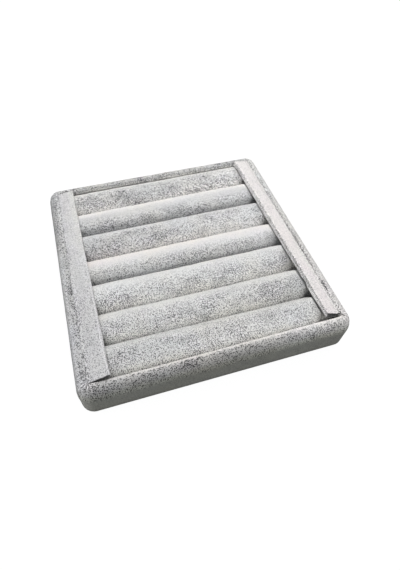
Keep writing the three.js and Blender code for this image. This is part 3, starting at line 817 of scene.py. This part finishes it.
def strip(name, s):
    seed = 700 if name == "left" else 800
    back, front = s["y"]
    side = s["side"]
    y = np.linspace(back, front, 360)
    w, lean, tuck = strip_at(s, y)
    g = Noise(seed)

    def wav(scale, k):
        return g(np.stack([y / scale, np.full_like(y, k), np.full_like(y, 0.4)], -1))

    lean = lean + np.radians(0.6) * wav(30, 0.2)
    edge_top = 0.22 * wav(22, 0.6) + 0.12 * wav(6, 0.9)
    # how far the cloth's lower inner edge stands out past the upper one
    if name == "right":
        lip = 0.10 + 1.2 * smooth(-50, -58, y) + 0.20 * wav(9, 0.3) + 0.45 * bump_along(y, -46.5, 2.0) - 0.15 * bump_along(y, -51.5, 2.2)
        edge_top = edge_top - 0.25 - 0.35 * bump_along(y, -52.5, 2.2) + 0.2 * bump_along(y, -47.0, 2.0) + 1.1 * smooth(72, 80, y)
    else:
        lip = 0.05 + 0.7 * bump_along(y, -57.0, 12.0) + 0.12 * wav(10, 0.3)
        edge_top = edge_top + 0.15 + 0.30 * smooth(-70, 60, y) - 0.5 * bump_along(y, -57.0, 12.0) + 0.5 * smooth(-76, -81, y)

    def grid(take, rows):
        radii = (0.75, 0.6, 0.8, 0.35) if take == 0 else (0.2, 0.2, 0.2, 0.2)
        base = strip_loop(11.0 - 2 * take, STRIP_T - 2 * take, radii, 26, 8, 7)
        u0, v0 = base[:, 0] + take, base[:, 1] - take
        inner = smooth(5.0, 9.0, u0)
        low = smooth(-0.8, -3.2, v0) * smooth(9.0, 10.6, u0)
        u = u0[None] + inner[None] * ((w - 11.0) + edge_top)[rows][:, None]
        u = u + low[None] * lip[rows][:, None]
        v = np.broadcast_to(v0[None], u.shape)
        a = lean[rows][:, None]
        q = a - tuck[rows][:, None] * np.clip(u / w[rows][:, None], 0, 1)
        out = np.empty(u.shape + (3,))
        out[..., 0] = side * (HINGE_X - u * np.cos(a) + v * np.sin(q))
        out[..., 1] = y[rows][:, None]
        out[..., 2] = HINGE_Z + u * np.sin(a) + v * np.cos(q)
        return out, u0, v0

    P, u0, v0 = grid(0.0, np.arange(len(y)))
    N = normals(P, True)
    if N[180, 10, 2] < 0:
        N = -N
    n1, n2 = Noise(seed + 1), Noise(seed + 2)
    P = P + N * (0.08 * n1(P / 9.0) + 0.06 * n2(P / 1.4) - 0.06)[..., None]
    # the cut ends of the cloth are not quite straight
    ends = bump_along(y, back, 1.2) + bump_along(y, front, 1.2)
    P[..., 1] += ends[:, None] * 0.22 * n1(P / 3.0)
    upper = smooth(-2.6, -0.6, v0)[None]
    P[..., 1] += upper * (0.75 * bump_along(y, back, 2.0) - (0.55 if name == "left" else 0.0) * bump_along(y, front, 2.0))[:, None]
    if name == "right":
        P[..., 1] -= 1.6 * (smooth(front + 5.0, front, y)[:, None] * (smooth(-0.9, -2.6, v0) * smooth(9.6, 10.6, u0))[None])
    inner, _, _ = grid(0.8, np.linspace(0, len(y) - 1, 120).astype(int))
    inner[0, :, 1], inner[-1, :, 1] = P[0, :, 1], P[-1, :, 1]
    verts, faces = tube(P, inner)
    # the left strip's section is mirrored, so its faces are turned to point out
    if side < 0:
        faces = faces[:, ::-1]
    t = np.linspace(0, 1, len(y))[:, None]
    flat = smooth(-0.9, -0.1, v0)[None] * np.ones_like(t)
    under = smooth(-STRIP_T + 0.5, -STRIP_T + 0.1, v0)[None] * np.ones_like(t)
    rim = np.exp(-(((u0 - 10.6) / 0.7) ** 2))[None] * flat
    lower = smooth(-2.2, -3.3, v0)[None] * smooth(9.5, 10.6, u0)[None]
    across = 0.35 * smooth(0.5, 5.0, u0)[None] + 0.65 * smooth(6.2, 8.2, u0)[None]
    if name == "right":
        # the inner side is painted light where the lamps leave it in shade, with painted highlights along the inner top
        # edge and on the lip of the lower edge towards the front
        light = lerp(0.76 - 0.14 * smooth(0.2, 0.5, t), 0.675 + 0.01 * t, flat) + 0.02 * rim + 0.14 * lower * smooth(0.45, 0.65, t)
        tufts = lerp(0.9, 0.20, flat) + 0.45 * rim - 0.6 * lower
        red, blue = lerp(0.022, 0.034 + 0.018 * t, flat), -0.018 + 0.010 * smooth(0.6, 0.9, t) * flat
        # dark specks of painted shade under the inner top edge, in the small creases where the cloth is folded over the
        # card
        speck = smooth(-0.15, 0.3, g(np.stack([y / 2.6, y * 0 + 3.1, y * 0], -1)))[:, None] * smooth(0.10, 0.40, t)
        light = light * (1 - 0.50 * speck * (np.exp(-(((v0 + 1.1) / 0.55) ** 2)) * smooth(9.5, 10.4, u0))[None])
        # painted shade: the cut edge of the cloth at the open front end is dark
        light = lerp(light, 0.20, bump_along(y, front, 0.5)[:, None] * smooth(-1.0, -2.0, v0)[None])
    else:
        # painted highlight along the left strip's inner top edge, strongest towards the front
        light = lerp(0.60, (0.580 - 0.080 * smooth(0.3, 0.9, t)) * lerp(0.955, 1.01, across), flat) + (0.01 + 0.07 * smooth(0.5, 0.75, t)) * rim
        tufts = lerp(0.6, 0.28 + 0.27 * smooth(0.35, 0.85, t), flat) - 0.3 * rim * smooth(0.5, 0.75, t)
        # painted shade: a dark dashed fold just inside the inner edge, with a painted highlight just outside it
        fold = smooth(-0.1, 0.35, g(np.stack([y / 3.4, y * 0 + 7.3, y * 0], -1)))[:, None] * smooth(0.30, 0.42, t) * smooth(0.97, 0.85, t)
        light = light * (1 - 0.24 * fold * np.exp(-(((u0 - 9.3) / 0.45) ** 2))[None] * flat)
        light = light + 0.05 * smooth(0.30, 0.42, t) * np.exp(-(((u0 - 10.3) / 0.6) ** 2))[None] * flat
        # places where a thumb has brushed the pile
        for at, over, long, wide, much in ((0.37, 3.4, 0.045, 2.6, 0.040), (0.45, 9.4, 0.025, 1.6, 0.045), (0.54, 4.6, 0.05, 3.0, -0.022), (0.66, 7.6, 0.04, 2.4, 0.024), (0.80, 3.6, 0.05, 2.6, -0.026)):
            light = light + much * np.exp(-(((t - at) / long) ** 2)) * np.exp(-(((u0 - over) / wide) ** 2))[None] * flat
        red = 0.004 + 0.012 * smooth(0.35, 0, t) * (1 - across)
        blue = -0.003 + smooth(0.5, 0.2, t) * lerp(0.005, -0.025, across) + 0.014 * smooth(0.55, 0.9, t)
    light = lerp(light, 0.5, under)
    tufts = np.clip(lerp(tufts, 0.8, under), 0, 2)
    rest = np.zeros(len(verts) - P[..., 0].size)
    lining = np.full(inner.shape[:2], 0.28)
    # painted shade: the lining is darker at the strip's two open ends
    lining[[0, -1]] = 0.12
    attributes = {
        "shade": np.append(light, lining), "fleck": np.append(tufts, rest + 0.2),
        "red": np.append(red + 0 * light, rest), "blue": np.append(blue + 0 * light, rest),
    }
    ob = piece(f"{name}_end_strip_velvet", verts, faces, VELVET_STRIP[name], attributes)
    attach(ob, f"{name}_strip")
    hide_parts(f"{name}_strip_cover")
    hinge(name, s, seed)


def hinge(name, s, seed):
    """The tail of a strip's cloth: glued down the side wall, and at the top folded over onto the
    strip, its pile filling the crease between the strip and the rim."""
    side = s["side"]
    back, front = s["y"]
    y = np.linspace(back + 0.4, front + (-0.5 if name == "left" else 0.3), 330)
    right = [(81.78, z) for z in np.linspace(19.7, 28.3, 12)]
    crown = [(81.95, 28.75), (82.25, 29.1), (82.4, 29.4), (82.25, 29.58), (81.85, 29.66), (81.4, 29.68), (80.95, 29.70), (80.5, 29.74), (80.15, 29.75), (79.95, 29.64)]
    under = [(80.25, 29.45), (80.75, 29.2), (81.05, 28.75)]
    down = [(81.15, z) for z in np.linspace(28.3, 19.7, 12)]
    loop = np.array(right + crown + under + down)
    _, lean, _ = strip_at(s, y)
    G = np.empty((len(y), len(loop), 3))
    # the part that lies on the strip follows its slope
    on = smooth(81.3, 80.6, loop[:, 0])[None]
    G[..., 0] = side * loop[None, :, 0]
    G[..., 1] = y[:, None]
    G[..., 2] = loop[None, :, 1] + on * np.tan(lean)[:, None] * np.maximum(HINGE_X - loop[None, :, 0], 0)
    n1, n2 = Noise(seed + 5), Noise(seed + 6)
    high = smooth(28.6, 29.3, loop[:, 1])[None]
    G[..., 2] += high * (0.10 * n1(G / 7.0) + 0.16 * n2(G / 1.5))
    G[..., 0] += 0.10 * n1(G / 6.0 + 3.3)
    nv = len(loop)
    v = G.reshape(-1, 3)
    f = quads(len(y), nv, 0, wrap_v=True)
    first, last = np.arange(nv), (len(y) - 1) * nv + np.arange(nv)
    v = np.concatenate([v, [G[0].mean(0), G[-1].mean(0)]])
    a, b = len(v) - 2, len(v) - 1
    caps = [[a, j, i, i] for i, j in zip(first, np.roll(first, -1))] + [[b, i, j, j] for i, j in zip(last, np.roll(last, -1))]
    faces = f.tolist() + [c[:3] for c in caps]
    if side < 0:
        faces = [c[::-1] for c in faces]
    t = np.linspace(0, 1, len(y))[:, None]
    strip_side = smooth(82.1, 81.6, loop[:, 0])[None]
    # the hinge's side towards the rim is painted in the crease's shade, on the right darkest halfway along
    if name == "right":
        light, tufts = lerp(0.46 - 0.08 * np.exp(-(((t - 0.45) / 0.25) ** 2)), 0.66 + 0.01 * t, strip_side), lerp(1.7, 0.25, strip_side) + 0 * t
    else:
        light, tufts = lerp(0.42, 0.54 - 0.055 * smooth(0.3, 0.9, t), strip_side), lerp(1.1, 0.25 + 0.5 * t, strip_side)
    # painted shade: dark dashes along the crease, where the fold opens
    dash = smooth(0.05, 0.45, n1(np.stack([y / 2.4, y * 0 + 5.7, y * 0 + side], -1)))[:, None]
    light = light * (1 - 0.55 * dash * np.exp(-(((loop[:, 0] - 82.1) / 0.45) ** 2))[None])
    light = np.where(high > 0.05, light, 0.4)
    red, blue = (0.026, -0.025) if name == "right" else (0.004, 0.006)
    attributes = {
        "shade": np.append(light, [0.4, 0.4]), "fleck": np.append(tufts + 0 * light, [0.5, 0.5]),
        "red": np.full(len(v), red), "blue": np.full(len(v), blue),
    }
    ob = piece(f"{name}_strip_hinge_velvet", v, faces, VELVET_STRIP[name], attributes)
    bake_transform(ob)
    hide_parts(f"{name}_strip_hinge_cloth")


for name, s in STRIPS.items():
    strip(name, s)


# ------------------------------------------------------------------ felt sheet under the tray
def bottom_sheet():
    n = 120
    g = np.linspace(-1, 1, n)
    a, b = np.meshgrid(g, g, indexing="ij")
    half, r = 84.0, 7.0
    # squeeze the corners of a square grid in to a rounded outline
    x, y = a * half, b * half
    cx, cy = np.abs(x) - (half - r), np.abs(y) - (half - r)
    m = (cx > 0) & (cy > 0)
    d = np.hypot(cx, cy)
    big = np.maximum(cx, cy)
    k = np.where(m, big / np.maximum(d, 1e-6), 1.0)
    x = np.where(m, np.sign(x) * ((half - r) + cx * k), x)
    y = np.where(m, np.sign(y) * ((half - r) + cy * k), y)
    nz = Noise(60)
    edge = half - np.maximum(np.abs(a), np.abs(b)) * half
    wav = 0.25 * nz(np.stack([x / 9, y / 9, x * 0], -1)) * (edge < 0.1)
    x, y = x + wav * np.sign(a) * (np.abs(a) > 0.999), y + wav * np.sign(b) * (np.abs(b) > 0.999)
    soft = 0.35 * np.exp(-edge / 0.7)
    low = np.stack([x, y, 0.0 + soft * 0.9 + 0.04 * (1 + nz(np.stack([x / 5, y / 5, x * 0 + 2], -1))) * (edge > 2)], -1)
    high = np.stack([x, y, 0.97 - soft * 0.5], -1)
    v = np.concatenate([low.reshape(-1, 3), high.reshape(-1, 3)])
    i = np.arange(n * n).reshape(n, n)
    rim = np.concatenate([i[:, 0], i[-1, 1:], i[-2::-1, -1], i[0, -2:0:-1]])
    f = np.concatenate([quads(n, n, 0, turn=True), quads(n, n, n * n), ring(rim, n * n + rim)])
    ob = piece("underside_felt", v, f, FELT)
    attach(ob, "tray")
    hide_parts("bottom_sheet")


bottom_sheet()


# ------------------------------------------------------------------ floor, light
def stage():
    me = bpy.data.meshes.new("floor")
    s = 4.0
    me.from_pydata([(-s, -s, 0), (s, -s, 0), (s, s, 0), (-s, s, 0)], [], [(0, 1, 2, 3)])
    ob = bpy.data.objects.new("floor", me)
    ob.location.z = -0.0002
    bpy.context.scene.collection.objects.link(ob)
    m = bpy.data.materials.new("pale_floor")
    m.use_nodes = True
    nt = m.node_tree
    nt.nodes.clear()
    out = nt.nodes.new("ShaderNodeOutputMaterial")
    mix = nt.nodes.new("ShaderNodeMixShader")
    em = nt.nodes.new("ShaderNodeEmission")
    df = nt.nodes.new("ShaderNodeBsdfDiffuse")
    em.inputs["Color"].default_value = (1, 1, 1, 1)
    em.inputs["Strength"].default_value = 1.04
    df.inputs["Color"].default_value = (0.9, 0.9, 0.9, 1)
    mix.inputs[0].default_value = 0.07
    nt.links.new(em.outputs[0], mix.inputs[1])
    nt.links.new(df.outputs[0], mix.inputs[2])
    nt.links.new(mix.outputs[0], out.inputs[0])
    me.materials.append(m)
    ob.visible_diffuse = False
    ob.visible_glossy = False

    # a cove that rises out of the floor all round, so that low views end in the same pale ground
    a = np.linspace(0, np.pi / 2, 13)
    prof = np.concatenate([np.stack([2.4 + 1.2 * np.sin(a), -0.001 + 1.2 * (1 - np.cos(a))], -1), [(3.6, 3.0), (3.6, 7.0)]])
    round_ = np.linspace(0, 2 * np.pi, 96, endpoint=False)
    rows = np.stack([prof[:, None, 0] * np.cos(round_), prof[:, None, 0] * np.sin(round_), prof[:, None, 1] + 0 * round_], -1)
    me = bpy.data.meshes.new("backdrop")
    me.from_pydata(rows.reshape(-1, 3).tolist(), [], quads(len(prof), 96, wrap_v=True, turn=True).tolist())
    me.polygons.foreach_set("use_smooth", np.ones(len(me.polygons), bool))
    me.materials.append(m)
    wall = bpy.data.objects.new("backdrop", me)
    bpy.context.scene.collection.objects.link(wall)
    wall.visible_diffuse = wall.visible_glossy = wall.visible_shadow = False

    w = bpy.data.worlds.new("studio")
    bpy.context.scene.world = w
    w.use_nodes = True
    nt = w.node_tree
    nt.nodes.clear()
    out = nt.nodes.new("ShaderNodeOutputWorld")
    bg = nt.nodes.new("ShaderNodeBackground")
    tc = nt.nodes.new("ShaderNodeTexCoord")
    sp = nt.nodes.new("ShaderNodeSeparateXYZ")
    rp = nt.nodes.new("ShaderNodeValToRGB")
    mr = nt.nodes.new("ShaderNodeMapRange")
    nt.links.new(tc.outputs["Generated"], sp.inputs[0])
    nt.links.new(sp.outputs[2], mr.inputs[0])
    mr.inputs[1].default_value, mr.inputs[2].default_value = -1.0, 1.0
    nt.links.new(mr.outputs[0], rp.inputs[0])
    e = rp.color_ramp.elements
    e[0].position, e[0].color = 0.0, (0.06, 0.06, 0.057, 1)
    e[1].position, e[1].color = 1.0, (0.80, 0.81, 0.82, 1)
    mid = e.new(0.5)
    mid.color = (0.26, 0.26, 0.26, 1)
    nt.links.new(rp.outputs[0], bg.inputs[0])
    bg.inputs[1].default_value = 1.0
    nt.links.new(bg.outputs[0], out.inputs[0])

    def lamp(name, place, size, power, colour=(1, 1, 1)):
        d = bpy.data.lights.new(name, "AREA")
        d.shape = "DISK"
        d.size = size
        d.energy = power
        d.color = colour
        o = bpy.data.objects.new(name, d)
        bpy.context.scene.collection.objects.link(o)
        o.location = place
        o.rotation_euler = (Vector((0, 0, 0.02)) - Vector(place)).to_track_quat("-Z", "Y").to_euler()
        return o

    lamp("key", (0.55, 0.62, 1.10), 0.8, 11.0, (1.0, 0.985, 0.965))
    lamp("fill", (-0.7, -0.2, 1.2), 1.0, 2.0, (0.97, 0.985, 1.0))
    lamp("side", (-1.1, 0.1, 0.45), 0.8, 2.0)
    v = bpy.context.scene.view_settings
    v.view_transform = "Standard"
    v.look = "None"


stage()
